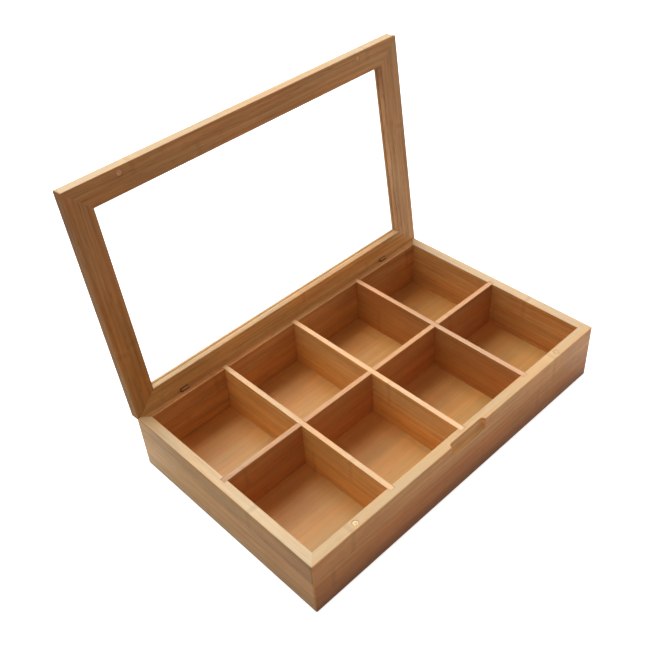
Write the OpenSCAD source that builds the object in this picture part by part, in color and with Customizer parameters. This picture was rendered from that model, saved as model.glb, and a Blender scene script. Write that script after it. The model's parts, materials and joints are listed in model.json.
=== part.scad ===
// Eight-compartment tea bag box: mitred bamboo walls, halved dividers and a hinged, glazed lid.
// The origin is the centre of the box's underside. X runs along the box, Y to the hinges, Z up.
// The lid is drawn open, leaning back on its stop.

/* [Box] */
// Outside length of the box
box_length = 320; // [280:1:400]
// Outside depth of the box, front to back
box_width = 198; // [160:1:260]
// Height of the box without its lid
box_height = 52; // [45:1:90]
// Thickness of the four walls
wall_thickness = 9; // [8:0.5:12]
// Thickness of the bottom board
board_thickness = 9; // [7:0.5:12]
// Radius of the four upright outer corners
corner_radius = 2; // [1:0.5:4]
// Radius that the outer edges are sanded to
outer_edge_radius = 1; // [0.5:0.1:1.5]
// Radius that the inner edges are sanded to
inner_edge_radius = 0.5; // [0.2:0.1:1]

/* [Joinery] */
// Depth of the housings that hold the dividers' ends
housing_depth = 3; // [2:0.5:4]
// Depth of the groove that holds the bottom board's tongue
tongue_groove_depth = 4; // [2:0.5:5]
// Height of the tongue's lower face above the underside
tongue_height = 3; // [2:0.5:4]
// Thickness of the tongue
tongue_thickness = 3; // [2:0.5:4]
// Gap on each side of a glued wood joint
wood_clearance = 0.1; // [0.05:0.05:0.3]

/* [Dividers] */
// Thickness of the dividers
divider_thickness = 4.5; // [3:0.5:6]
// Radius that the dividers' top edges are sanded to
divider_edge_radius = 0.4; // [0.2:0.1:1]

/* [Finger scoop] */
// Length of the scoop in the front wall
scoop_length = 39; // [25:1:60]
// Depth of the scoop at the rim
scoop_depth = 3.5; // [2:0.5:5]
// Radius of the scoop's hollow, from front to back
scoop_radius = 16; // [10:1:30]
// Radius of the scoop's two ends, seen from above
scoop_end_radius = 3; // [1:0.5:3.5]

/* [Lid] */
// Thickness of the lid's frame
lid_thickness = 10; // [9:0.5:14]
// Width of the lid's four rails and stiles
rail_width = 20; // [16:1:30]
// Angle between the open lid and the rim
open_angle = 96.5; // [92:0.5:105]
// Gap between the rim and the closed lid
lid_gap = 0.2; // [0.1:0.05:0.4]
// Thickness of the window pane
pane_thickness = 2; // [1.5:0.5:3]
// Height of the pane's groove above the lid's underside
pane_height = 5.5; // [3:0.5:6]
// Depth of the pane's groove
pane_groove_depth = 5; // [3:0.5:7]
// Gap round the pane's edge in its groove
pane_edge_clearance = 0.4; // [0.2:0.1:1]
// Gap on each face of the pane in its groove
pane_face_clearance = 0.1; // [0.05:0.05:0.3]

/* [Hinges] */
// Distance from each end of the box to the middle of a hinge
hinge_inset = 45; // [30:1:90]
// Distance from the rear face to the hinge axis
axis_setback = 3; // [2.5:0.5:4]
// Width of a hinge across its knuckles
hinge_width = 7; // [6:0.5:12]
// Outside diameter of the knuckles
knuckle_diameter = 3.6; // [3:0.1:4]
// Gap round the knuckles in the wood
knuckle_clearance = 0.3; // [0.2:0.05:0.5]
// Gap between neighbouring knuckles
knuckle_gap = 0.15; // [0.1:0.05:0.3]
// Thickness of the hinge leaves
leaf_thickness = 0.8; // [0.6:0.1:1]
// Depth that a leaf is driven into the wood
leaf_depth = 7.5; // [5:0.5:8]
// Gap round a leaf in its saw kerf
kerf_clearance = 0.05; // [0.02:0.01:0.1]
// Diameter of the hinge pins
pin_diameter = 1.4; // [1:0.1:1.6]
// Gap round the pin in the fixed knuckles
pin_seat_clearance = 0.02; // [0.01:0.01:0.04]
// Gap round the pin in the turning knuckle
pin_running_clearance = 0.05; // [0.03:0.01:0.1]

/* [Magnets] */
// Distance from each end of the box to the middle of a magnet
magnet_inset = 45; // [30:1:65]
// Diameter of the closing magnets
magnet_diameter = 5; // [3:0.5:6]
// Thickness of the closing magnets
magnet_thickness = 2; // [1:0.5:3]
// Gap round a magnet, and its depth below the surface
magnet_clearance = 0.05; // [0.02:0.01:0.15]

/* [Hidden] */

$fn = 48;
// Small overrun that carries a cut through a face
over = 1;
// Reach of the cutters that trim a bevel or a mitre
reach = box_length;

wall_colour = "#b07a4a";
board_colour = "#c99a66";
divider_colour = "#bb8350";
lid_colour = "#a06a3c";
pane_colour = [0.85, 0.93, 0.95, 0.35];
hinge_colour = "#b99a4f";
magnet_colour = "#c8ccd0";

inner_length = box_length - 2 * wall_thickness;
inner_width = box_width - 2 * wall_thickness;
divider_height = box_height - board_thickness;
lap_height = divider_height / 2;
// Four equal compartments in a row put the cross dividers this far apart
column_pitch = (inner_length + divider_thickness) / 4;

axis_y = box_width / 2 - axis_setback;
axis_z = box_height + lid_gap / 2;
lid_underside = box_height + lid_gap;
closed_height = lid_underside + lid_thickness;
// The bevels on the wall and the lid meet in a plane through the hinge axis, halfway through the travel
bevel_angle = open_angle / 2;

knuckle_radius = knuckle_diameter / 2;
knuckle_length = (hinge_width - 2 * knuckle_gap) / 3;
// The leaves lie flush with the front of the knuckles
leaf_y = axis_y - knuckle_radius;
// A leaf is cut away round the other leaf's knuckle
leaf_relief = knuckle_radius + knuckle_clearance;
hinge_x = box_length / 2 - hinge_inset;

magnet_x = box_length / 2 - magnet_inset;
magnet_y = -(box_width - wall_thickness) / 2;

// The scoop's ends can't be rounder than the scoop is deep
end_radius = min(scoop_end_radius, scoop_depth);

// ---- Shapes that repeat -------------------------------------------------------------------

// A rectangle from the origin, with its corners rounded: lower left, lower right, upper right, upper left
module eased_rect(size, radii) {
    corners = [[0, 0], [size.x, 0], size, [0, size.y]];
    difference() {
        square(size);
        for (i = [0:3])
            if (radii[i] > 0)
                translate(corners[i])
                    rotate(90 * i)
                        corner_waste(radii[i]);
    }
}

// What rounding takes off the lower left corner of a square
module corner_waste(radius) {
    difference() {
        translate([-over, -over])
            square(radius + over);
        translate([radius, radius])
            circle(radius);
    }
}

// A rectangle about the origin with four round corners
module rounded_rect(length, width, radius) {
    square([length - 2 * radius, width], center = true);
    square([length, width - 2 * radius], center = true);
    for (x = [-1, 1], y = [-1, 1])
        translate([x * (length / 2 - radius), y * (width / 2 - radius)])
            circle(radius);
}

// Runs a profile drawn in Y and Z along X, centred on the box
module run_along_x(length) {
    translate([-length / 2, 0, 0])
        rotate([90, 0, 90])
            linear_extrude(length)
                children();
}

// Runs a profile drawn in X and Z along Y, centred on the box
module run_along_y(length) {
    translate([0, length / 2, 0])
        rotate([90, 0, 0])
            linear_extrude(length)
                children();
}

// The footprint of a front or rear member with mitred ends; side is -1 at the front, 1 at the rear
module mitred_plan_x(side, member) {
    half_l = box_length / 2;
    half_w = side * box_width / 2;
    inset = side * member;
    polygon([
        [-half_l, half_w], [half_l, half_w],
        [half_l - member, half_w - inset], [-half_l + member, half_w - inset]
    ]);
}

// The footprint of an end member with mitred ends; side is -1 at the left, 1 at the right
module mitred_plan_y(side, member) {
    half_l = side * box_length / 2;
    half_w = box_width / 2;
    inset = side * member;
    polygon([
        [half_l, -half_w], [half_l, half_w],
        [half_l - inset, half_w - member], [half_l - inset, -half_w + member]
    ]);
}

// Cuts a member to a mitred footprint and to the box's round upright corners
module trim_to_plan() {
    intersection() {
        children(0);
        translate([0, 0, -over])
            linear_extrude(closed_height + 2 * over)
                intersection() {
                    children(1);
                    rounded_rect(box_length, box_width, corner_radius);
                }
    }
}

// Swings a piece of the lid from shut to the open rest position
module open_lid() {
    translate([0, axis_y, axis_z])
        rotate([-open_angle, 0, 0])
            translate([0, -axis_y, -axis_z])
                children();
}

// ---- Cuts that two pieces share --------------------------------------------------------------

// The waste behind the wall's bevel, drawn in Y and Z
module wall_bevel_waste() {
    translate([axis_y, axis_z])
        rotate(-bevel_angle)
            translate([-reach, 0])
                square([2 * reach, reach]);
}

// The waste behind the lid's bevel, drawn in Y and Z with the lid shut
module lid_bevel_waste() {
    translate([axis_y, axis_z])
        rotate(bevel_angle)
            translate([-reach, -reach])
                square([2 * reach, reach]);
}

// Room for both hinges' knuckles, round the axis
module knuckle_pockets() {
    length = hinge_width + 2 * knuckle_clearance;
    for (side = [-1, 1])
        translate([side * hinge_x - length / 2, axis_y, axis_z])
            rotate([0, 90, 0])
                cylinder(length, r = leaf_relief);
}

// Saw kerfs for both hinges' leaves; direction is -1 down into the wall, 1 up into the lid
module leaf_kerfs(direction) {
    depth = leaf_depth + kerf_clearance;
    for (side = [-1, 1])
        translate([
            side * hinge_x - hinge_width / 2 - kerf_clearance,
            leaf_y - kerf_clearance,
            axis_z - (direction < 0 ? depth : 0)
        ])
            cube([hinge_width + 2 * kerf_clearance, leaf_thickness + 2 * kerf_clearance, depth]);
}

// Blind holes for both magnets, opening at the given height; direction is -1 down, 1 up
module magnet_holes(height, direction) {
    depth = magnet_thickness + 2 * magnet_clearance;
    for (side = [-1, 1])
        translate([side * magnet_x, magnet_y, height - (direction < 0 ? depth : over)])
            cylinder(depth + over, d = magnet_diameter + 2 * magnet_clearance);
}

// The housings for the ends of all three cross dividers
module cross_housings() {
    for (column = [-1:1])
        translate([column * column_pitch, 0, 0])
            divider_block([divider_thickness, inner_width + 2 * housing_depth]);
}

// The housings for the ends of the long divider
module long_housings() {
    divider_block([inner_length + 2 * housing_depth, divider_thickness]);
}

// A divider's space from the bottom board through the rim, with the joint's clearance all round
module divider_block(plan) {
    size = [plan.x + 2 * wood_clearance, plan.y + 2 * wood_clearance];
    translate([-size.x / 2, -size.y / 2, board_thickness])
        cube([size.x, size.y, divider_height + over]);
}

// The groove round all four walls for the bottom board's tongue
module tongue_groove() {
    length = inner_length + 2 * tongue_groove_depth;
    width = inner_width + 2 * tongue_groove_depth;
    translate([-length / 2, -width / 2, tongue_height - wood_clearance])
        cube([length, width, tongue_thickness + 2 * wood_clearance]);
}

// The groove round the lid's frame for the pane, with the lid shut
module pane_groove() {
    length = box_length - 2 * (rail_width - pane_groove_depth);
    width = box_width - 2 * (rail_width - pane_groove_depth);
    translate([-length / 2, -width / 2, lid_underside + pane_height])
        cube([length, width, pane_thickness + 2 * pane_face_clearance]);
}

// The hollow for a finger under the lid's front edge
module finger_scoop() {
    intersection() {
        translate([-scoop_length / 2, -box_width / 2 + scoop_depth - scoop_radius, box_height])
            rotate([0, 90, 0])
                cylinder(scoop_length, r = scoop_radius);
        translate([0, -box_width / 2, box_height - scoop_radius])
            linear_extrude(2 * scoop_radius)
                rounded_rect(scoop_length, 2 * scoop_depth, end_radius);
    }
}

// ---- The box ------------------------------------------------------------------------------

// The section of a wall, outer face at the left, foot at the origin
module wall_section() {
    eased_rect(
        [wall_thickness, box_height],
        [outer_edge_radius, 0, inner_edge_radius, outer_edge_radius]
    );
}

module front_wall() {
    color(wall_colour)
        difference() {
            trim_to_plan() {
                run_along_x(box_length)
                    translate([-box_width / 2, 0])
                        wall_section();
                mitred_plan_x(-1, wall_thickness);
            }
            cross_housings();
            tongue_groove();
            magnet_holes(box_height, -1);
            finger_scoop();
        }
}

module rear_wall() {
    color(wall_colour)
        difference() {
            trim_to_plan() {
                run_along_x(box_length)
                    difference() {
                        translate([box_width / 2, 0])
                            mirror([1, 0])
                                wall_section();
                        wall_bevel_waste();
                    }
                mitred_plan_x(1, wall_thickness);
            }
            cross_housings();
            tongue_groove();
            knuckle_pockets();
            leaf_kerfs(-1);
        }
}

// side is -1 for the left wall and 1 for the right one
module end_wall(side) {
    color(wall_colour)
        difference() {
            trim_to_plan() {
                run_along_y(box_width)
                    translate([side * box_length / 2, 0])
                        mirror([side > 0 ? 1 : 0, 0])
                            wall_section();
                mitred_plan_y(side, wall_thickness);
            }
            long_housings();
            tongue_groove();
            run_along_x(box_length + 2 * over)
                wall_bevel_waste();
        }
}

module bottom_board() {
    length = inner_length - 2 * wood_clearance;
    width = inner_width - 2 * wood_clearance;
    tongue = 2 * (tongue_groove_depth - wood_clearance);
    color(board_colour) {
        translate([-length / 2, -width / 2, 0])
            cube([length, width, board_thickness]);
        translate([-(length + tongue) / 2, -(width + tongue) / 2, tongue_height])
            cube([length + tongue, width + tongue, tongue_thickness]);
    }
}

// ---- The dividers -------------------------------------------------------------------------

// The section of a divider, centred on its width, foot on the bottom board
module divider_section() {
    translate([-divider_thickness / 2, board_thickness])
        eased_rect(
            [divider_thickness, divider_height],
            [0, 0, divider_edge_radius, divider_edge_radius]
        );
}

// Slots down from the top let the cross dividers drop in
module long_divider() {
    slot = divider_thickness + 2 * wood_clearance;
    color(divider_colour)
        difference() {
            run_along_x(inner_length + 2 * housing_depth)
                divider_section();
            for (column = [-1:1])
                translate([column * column_pitch - slot / 2, -slot / 2, board_thickness + lap_height])
                    cube([slot, slot, divider_height]);
        }
}

// A slot up from the foot fits over the long divider; column is -1, 0 or 1 from left to right
module cross_divider(column) {
    slot = divider_thickness + 2 * wood_clearance;
    color(divider_colour)
        translate([column * column_pitch, 0, 0])
            difference() {
                run_along_y(inner_width + 2 * housing_depth)
                    divider_section();
                translate([-slot / 2, -slot / 2, board_thickness - over])
                    cube([slot, slot, lap_height + over]);
            }
}

// ---- The lid ------------------------------------------------------------------------------

// The section of a rail or stile, outer edge at the left, underside at the lid's height when shut
module rail_section() {
    translate([0, lid_underside])
        eased_rect(
            [rail_width, lid_thickness],
            [inner_edge_radius, inner_edge_radius, inner_edge_radius, outer_edge_radius]
        );
}

module lid_front_rail() {
    color(lid_colour)
        open_lid()
            difference() {
                trim_to_plan() {
                    run_along_x(box_length)
                        translate([-box_width / 2, 0])
                            rail_section();
                    mitred_plan_x(-1, rail_width);
                }
                pane_groove();
                magnet_holes(lid_underside, 1);
            }
}

module lid_rear_rail() {
    color(lid_colour)
        open_lid()
            difference() {
                trim_to_plan() {
                    run_along_x(box_length)
                        difference() {
                            translate([box_width / 2, 0])
                                mirror([1, 0])
                                    rail_section();
                            lid_bevel_waste();
                        }
                    mitred_plan_x(1, rail_width);
                }
                pane_groove();
                knuckle_pockets();
                leaf_kerfs(1);
            }
}

// side is -1 for the left stile and 1 for the right one
module lid_stile(side) {
    color(lid_colour)
        open_lid()
            difference() {
                trim_to_plan() {
                    run_along_y(box_width)
                        translate([side * box_length / 2, 0])
                            mirror([side > 0 ? 1 : 0, 0])
                                rail_section();
                    mitred_plan_y(side, rail_width);
                }
                pane_groove();
                run_along_x(box_length + 2 * over)
                    lid_bevel_waste();
            }
}

module window_pane() {
    margin = rail_width - pane_groove_depth + pane_edge_clearance;
    length = box_length - 2 * margin;
    width = box_width - 2 * margin;
    color(pane_colour)
        open_lid()
            translate([-length / 2, -width / 2, lid_underside + pane_height + pane_face_clearance])
                cube([length, width, pane_thickness]);
}

// ---- Hinges and magnets -------------------------------------------------------------------

// A knuckle along X about the axis, from x0, with its bore; clearance is the gap round the pin
module knuckle(x0, clearance) {
    translate([x0, axis_y, axis_z])
        rotate([0, 90, 0])
            difference() {
                cylinder(knuckle_length, r = knuckle_radius);
                translate([0, 0, -over])
                    cylinder(knuckle_length + 2 * over, d = pin_diameter + 2 * clearance);
            }
}

// The strip that joins one knuckle to its leaf; direction is -1 down, 1 up
module leaf_strip(x0, clearance, direction) {
    difference() {
        translate([x0, leaf_y, axis_z - (direction < 0 ? leaf_relief : 0)])
            cube([knuckle_length, leaf_thickness, leaf_relief]);
        translate([x0 - over, axis_y, axis_z])
            rotate([0, 90, 0])
                cylinder(knuckle_length + 2 * over, d = pin_diameter + 2 * clearance);
    }
}

// The flat of a leaf beyond the relief, over the whole width; direction is -1 down, 1 up
module leaf_plate(direction) {
    height = leaf_depth - leaf_relief;
    translate([-hinge_width / 2, leaf_y, axis_z + (direction < 0 ? -leaf_depth : leaf_relief)])
        cube([hinge_width, leaf_thickness, height]);
}

// The two outer knuckles belong to the box; side is -1 or 1
module hinge_base_leaf(side) {
    color(hinge_colour)
        translate([side * hinge_x, 0, 0]) {
            for (x0 = [-hinge_width / 2, hinge_width / 2 - knuckle_length]) {
                knuckle(x0, pin_seat_clearance);
                leaf_strip(x0, pin_seat_clearance, -1);
            }
            leaf_plate(-1);
        }
}

// The middle knuckle belongs to the lid; side is -1 or 1
module hinge_lid_leaf(side) {
    color(hinge_colour)
        open_lid()
            translate([side * hinge_x, 0, 0]) {
                knuckle(-knuckle_length / 2, pin_running_clearance);
                leaf_strip(-knuckle_length / 2, pin_running_clearance, 1);
                leaf_plate(1);
            }
}

module hinge_pin(side) {
    color(hinge_colour)
        translate([side * hinge_x - hinge_width / 2, axis_y, axis_z])
            rotate([0, 90, 0])
                cylinder(hinge_width, d = pin_diameter);
}

module base_magnet(side) {
    color(magnet_colour)
        translate([side * magnet_x, magnet_y, box_height - magnet_clearance - magnet_thickness])
            cylinder(magnet_thickness, d = magnet_diameter);
}

module lid_magnet(side) {
    color(magnet_colour)
        open_lid()
            translate([side * magnet_x, magnet_y, lid_underside + magnet_clearance])
                cylinder(magnet_thickness, d = magnet_diameter);
}

front_wall();
rear_wall();
end_wall(-1);  // left_wall
end_wall(1);  // right_wall
bottom_board();
long_divider();
cross_divider(-1);  // cross_divider_left
cross_divider(0);  // cross_divider_middle
cross_divider(1);  // cross_divider_right
base_magnet(-1);  // base_magnet_left
base_magnet(1);  // base_magnet_right
hinge_base_leaf(-1);  // hinge_base_leaf_left
hinge_base_leaf(1);  // hinge_base_leaf_right
hinge_pin(-1);  // hinge_pin_left
hinge_pin(1);  // hinge_pin_right
lid_front_rail();
lid_rear_rail();
lid_stile(-1);  // lid_left_stile
lid_stile(1);  // lid_right_stile
window_pane();
lid_magnet(-1);  // lid_magnet_left
lid_magnet(1);  // lid_magnet_right
hinge_lid_leaf(-1);  // hinge_lid_leaf_left
hinge_lid_leaf(1);  // hinge_lid_leaf_right
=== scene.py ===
"""Looks of a bamboo tea bag box with a hinged, glazed lid, in metres.

The box stands on its underside at the origin. X runs along it, Y to the hinges and Z up. The lid
is open and leans back on its stop.
"""

import json
import logging
import math
from dataclasses import dataclass
from enum import Enum

import bmesh
import bpy
from mathutils import Matrix, Vector


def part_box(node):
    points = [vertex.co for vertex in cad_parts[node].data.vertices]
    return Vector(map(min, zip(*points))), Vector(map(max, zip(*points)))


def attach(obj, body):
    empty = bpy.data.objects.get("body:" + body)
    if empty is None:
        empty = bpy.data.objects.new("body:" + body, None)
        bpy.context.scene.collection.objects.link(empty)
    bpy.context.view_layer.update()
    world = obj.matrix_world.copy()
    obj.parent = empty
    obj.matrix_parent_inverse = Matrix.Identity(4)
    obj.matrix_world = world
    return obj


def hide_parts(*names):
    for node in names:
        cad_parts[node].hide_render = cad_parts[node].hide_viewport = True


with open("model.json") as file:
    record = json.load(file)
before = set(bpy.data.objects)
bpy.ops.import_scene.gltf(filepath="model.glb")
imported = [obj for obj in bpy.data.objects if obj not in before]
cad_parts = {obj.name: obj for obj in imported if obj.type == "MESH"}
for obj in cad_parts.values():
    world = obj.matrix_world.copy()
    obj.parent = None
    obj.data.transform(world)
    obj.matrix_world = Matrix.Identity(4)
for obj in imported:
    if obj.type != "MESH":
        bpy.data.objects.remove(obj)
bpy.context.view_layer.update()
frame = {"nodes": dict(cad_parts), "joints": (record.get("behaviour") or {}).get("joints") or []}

MM = 0.001
NOISE_MIDDLE = 0.5
WHITE = (1.0, 1.0, 1.0, 1.0)

Socket = bpy.types.NodeSocket
Colour = tuple[float, float, float, float]
Tone = tuple[float, float, float]
Span = tuple[float, float]
Value = float | Colour | Vector | Socket

log = logging.getLogger("tea_box")


# ---- Names and small helpers -----------------------------------------------------------------


class Axis(Enum):
    """A direction of the box, as the place of its coordinate."""

    X = 0
    Y = 1
    Z = 2


class Body(Enum):
    """The two bodies that turn on each other at the hinges."""

    BASE = "base"
    LID = "lid"


class Side(Enum):
    """The end of the box that a magnet or a hinge is near."""

    LEFT = "left"
    RIGHT = "right"


class Mapped(Enum):
    """What a mapping turns, as the kind of its Mapping node."""

    PLACE = "POINT"
    DIRECTION = "NORMAL"


def tint(red: int, green: int, blue: int) -> Colour:
    """Turn a paint-chart colour into linear light.

    Args:
        red: Red, from 0 to 255.
        green: Green, from 0 to 255.
        blue: Blue, from 0 to 255.

    Returns:
        The colour as linear red, green and blue, with an alpha of 1.
    """

    def linear(level: int) -> float:
        """Undo the display curve of one channel."""
        share = level / 255
        return share / 12.92 if share <= 0.04045 else ((share + 0.055) / 1.055) ** 2.4

    return (linear(red), linear(green), linear(blue), 1.0)


@dataclass(frozen=True)
class LidPose:
    """Where the lid turns, and how far it stands open at rest.

    Attributes:
        pivot: A point on the hinge's axis, in metres.
        open_angle: How far the lid has to turn to shut, in radians.
    """

    pivot: Vector
    open_angle: float

    @classmethod
    def from_frame(cls) -> "LidPose":
        """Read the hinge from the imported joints.

        Returns:
            The pose of the lid at rest.
        """
        joint = frame["joints"][0]
        return cls(Vector(joint["pos_m"]), math.radians(joint["range_deg"][1]))

    def closing(self) -> Matrix:
        """The turn that shuts the lid."""
        return Matrix.Rotation(self.open_angle, 3, "X")

    def shut_offset(self) -> Vector:
        """The shift that goes with that turn, so that the pivot stays in place."""
        return self.pivot - self.closing() @ self.pivot

    def opened(self, direction: Vector) -> Vector:
        """Turn a direction of the shut lid to where it points at rest."""
        return self.closing().transposed() @ direction


def centre_of(node: str) -> Vector:
    """The middle of a CAD node's box at rest."""
    low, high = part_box(node)
    return (low + high) / 2


def size_of(node: str) -> Vector:
    """The size of a CAD node's box at rest."""
    low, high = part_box(node)
    return high - low


def dress_node(node: str, material: bpy.types.Material) -> None:
    """Give a CAD node its finish.

    Args:
        node: The node's name.
        material: The finish for all its faces.
    """
    for slot in frame["nodes"][node].material_slots:
        slot.material = material
    log.info("dressed %s in %s", node, material.name)


def place_object(
    name: str, data: bpy.types.Mesh | bpy.types.Light | bpy.types.Camera
) -> bpy.types.Object:
    """Put a new object in the scene.

    Args:
        name: Its name.
        data: What it shows.

    Returns:
        The object.
    """
    thing = bpy.data.objects.new(name, data)
    bpy.context.scene.collection.objects.link(thing)
    return thing


def place_mesh(name: str, mesh: bmesh.types.BMesh) -> bpy.types.Object:
    """Put a finished mesh in the scene, and free it.

    Args:
        name: The name for the object and its mesh.
        mesh: The mesh.

    Returns:
        The object.
    """
    data = bpy.data.meshes.new(name)
    mesh.to_mesh(data)
    mesh.free()
    return place_object(name, data)


def turned_piece(
    name: str, profile: list[tuple[float, float]], centre: Vector, axis: Vector, steps: int = 64
) -> bpy.types.Object:
    """Turn a closed round piece, as on a lathe.

    Args:
        name: The piece's name.
        profile: Radius and height of each edge, from one end to the other, with radius 0 at both
            ends, in metres.
        centre: Where height 0 lies on the axis.
        axis: The direction of the axis.
        steps: Number of facets round the piece.

    Returns:
        The piece, with its vertices in the box's frame.
    """
    mesh = bmesh.new()
    turn = Vector((0, 0, 1)).rotation_difference(axis).to_matrix().to_4x4()
    place = Matrix.Translation(centre) @ turn
    rings = []
    for radius, height in profile:
        angles = [0.0] if radius == 0 else [math.tau * step / steps for step in range(steps)]
        spots = [Vector((radius * math.cos(a), radius * math.sin(a), height)) for a in angles]
        rings.append([mesh.verts.new(place @ spot) for spot in spots])
    for lower, upper in zip(rings, rings[1:]):
        for step in range(steps):
            here, there = step, (step + 1) % steps
            corners = [lower[here % len(lower)], lower[there % len(lower)]]
            corners += [upper[there % len(upper)], upper[here % len(upper)]]
            mesh.faces.new(list(dict.fromkeys(corners)))
    bmesh.ops.recalc_face_normals(mesh, faces=mesh.faces)
    return place_mesh(name, mesh)


# ---- Shader building ---------------------------------------------------------------------------


class ShaderGraph:
    """The node tree of a material or a sky, with a short method for each kind of node in use."""

    def __init__(self, owner: bpy.types.Material | bpy.types.World) -> None:
        """Start with an empty tree.

        Args:
            owner: The new material or world.
        """
        self.owner = owner
        owner.use_nodes = True
        self.tree = owner.node_tree
        self.tree.nodes.clear()

    def add(
        self, kind: str, inputs: dict[str, Value] | None = None, **settings: object
    ) -> bpy.types.Node:
        """Add a node.

        Args:
            kind: The node's type name.
            inputs: Sockets or constants for its inputs, by the inputs' names.
            settings: Properties to set on it.

        Returns:
            The new node.
        """
        node = self.tree.nodes.new(kind)
        for key, setting in settings.items():
            setattr(node, key, setting)
        for key, value in (inputs or {}).items():
            self.feed(node.inputs[key], value)
        return node

    def feed(self, target: Socket, value: Value) -> None:
        """Link an input to another socket, or set its constant.

        Args:
            target: The input to feed.
            value: A socket to link, or a constant.
        """
        if isinstance(value, bpy.types.NodeSocket):
            self.tree.links.new(value, target)
        else:
            target.default_value = value

    def fill(self, node: bpy.types.Node, *values: Value) -> None:
        """Feed a node's inputs in order, as far as there are values."""
        for target, value in zip(node.inputs, values):
            self.feed(target, value)

    def calc(self, operation: str, *values: Value, clamp: bool = False) -> Socket:
        """Do a sum on numbers.

        Args:
            operation: The Math node's operation.
            values: Its inputs, in order.
            clamp: Whether to hold the result between 0 and 1.

        Returns:
            The result.
        """
        node = self.add("ShaderNodeMath", operation=operation, use_clamp=clamp)
        self.fill(node, *values)
        return node.outputs[0]

    def vector_sum(self, operation: str, *values: Value) -> bpy.types.Node:
        """Do a sum on vectors or colours.

        Args:
            operation: The Vector Math node's operation.
            values: Its inputs, in order.

        Returns:
            The node, which has an output for a vector and one for a number.
        """
        node = self.add("ShaderNodeVectorMath", operation=operation)
        self.fill(node, *values)
        return node

    def dot(self, first: Socket, second: Socket) -> Socket:
        """How far two directions agree."""
        return self.vector_sum("DOT_PRODUCT", first, second).outputs["Value"]

    def times(self, first: Socket, second: Socket) -> Socket:
        """Two colours multiplied."""
        return self.vector_sum("MULTIPLY", first, second).outputs["Vector"]

    def scaled(self, vector: Socket, factor: Value) -> Socket:
        """A vector or colour multiplied by a number."""
        inputs = {"Vector": vector, "Scale": factor}
        return self.add("ShaderNodeVectorMath", inputs, operation="SCALE").outputs["Vector"]

    def split(self, vector: Socket) -> list[Socket]:
        """The three coordinates of a vector."""
        return list(self.add("ShaderNodeSeparateXYZ", {"Vector": vector}).outputs)

    def gather(self, *values: Value) -> Socket:
        """Put a vector together.

        Args:
            values: Its three coordinates.

        Returns:
            The vector.
        """
        node = self.add("ShaderNodeCombineXYZ")
        self.fill(node, *values)
        return node.outputs[0]

    def millimetres(self) -> Socket:
        """The place in the box's frame at rest, in millimetres."""
        return self.scaled(self.add("ShaderNodeTexCoord").outputs["Object"], 1 / MM)

    def mapped(
        self,
        vector: Socket,
        kind: Mapped,
        turn: tuple[float, float, float],
        shift: Vector | None = None,
    ) -> Socket:
        """Turn and shift a place, or turn a direction.

        Args:
            vector: The place or direction.
            kind: Which of the two it is.
            turn: The turn about X, Y and Z, in radians.
            shift: The shift after the turn, or None for no shift.

        Returns:
            The new place or direction.
        """
        inputs = {"Vector": vector, "Rotation": turn}
        if shift is not None:
            inputs["Location"] = shift
        return self.add("ShaderNodeMapping", inputs, vector_type=kind.value).outputs[0]

    def noise(self, place: Socket, detail: float, roughness: float = 0.5) -> Socket:
        """Soft noise with one feature per unit.

        Args:
            place: Where to read it.
            detail: How many finer layers it has.
            roughness: How strong the finer layers are.

        Returns:
            A number from 0 to 1.
        """
        inputs = {"Vector": place, "Scale": 1.0, "Detail": detail, "Roughness": roughness}
        return self.add("ShaderNodeTexNoise", inputs).outputs[0]

    def chance(self, number: Socket) -> Socket:
        """The random number from 0 to 1 that belongs to a whole number."""
        node = self.add("ShaderNodeTexWhiteNoise", {"W": number}, noise_dimensions="1D")
        return node.outputs["Value"]

    def rise(self, value: Socket, low: float, high: float, top: float = 1.0) -> Socket:
        """A smooth rise from 0 at one value to the top at another.

        Args:
            value: The number to follow.
            low: Where the rise starts.
            high: Where it ends.
            top: What it rises to.

        Returns:
            A number from 0 to the top.
        """
        inputs = {"Value": value, "From Min": low, "From Max": high, "To Min": 0.0, "To Max": top}
        return self.add("ShaderNodeMapRange", inputs, interpolation_type="SMOOTHSTEP").outputs[0]

    def fall(self, value: Socket, low: float, high: float, top: float = 1.0) -> Socket:
        """A smooth fall from the top at one value to 0 at another."""
        return self.calc("SUBTRACT", top, self.rise(value, low, high, top))

    def blend(self, share: Value, first: Value, second: Value) -> Socket:
        """Mix two colours.

        Args:
            share: How much of the second colour to use.
            first: The colour at 0.
            second: The colour at 1.

        Returns:
            The mixed colour.
        """
        node = self.add("ShaderNodeMix", data_type="RGBA")
        colour_a, colour_b = (s for s in node.inputs if s.type == "RGBA")
        self.feed(node.inputs[0], share)
        self.feed(colour_a, first)
        self.feed(colour_b, second)
        return next(s for s in node.outputs if s.type == "RGBA")

    def relief(self, height: Socket, depth: float, normal: Socket) -> Socket:
        """Bumps on the surface.

        Args:
            height: The height, from 0 to 1.
            depth: What a height of 1 stands for, in metres.
            normal: The surface direction to start from.

        Returns:
            The surface direction with the bumps.
        """
        inputs = {"Strength": 1.0, "Distance": depth, "Height": height, "Normal": normal}
        return self.add("ShaderNodeBump", inputs).outputs[0]

    def softened(self, radius: float) -> Socket:
        """The surface direction with every edge rounded to a radius in metres."""
        return self.add("ShaderNodeBevel", {"Radius": radius}, samples=4).outputs[0]

    def choose(self, share: Socket, first: Socket, second: Socket) -> Socket:
        """Mix two shaders.

        Args:
            share: How much of the second shader to use.
            first: The shader at 0.
            second: The shader at 1.

        Returns:
            The mixed shader.
        """
        node = self.add("ShaderNodeMixShader")
        self.fill(node, share, first, second)
        return node.outputs[0]

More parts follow.
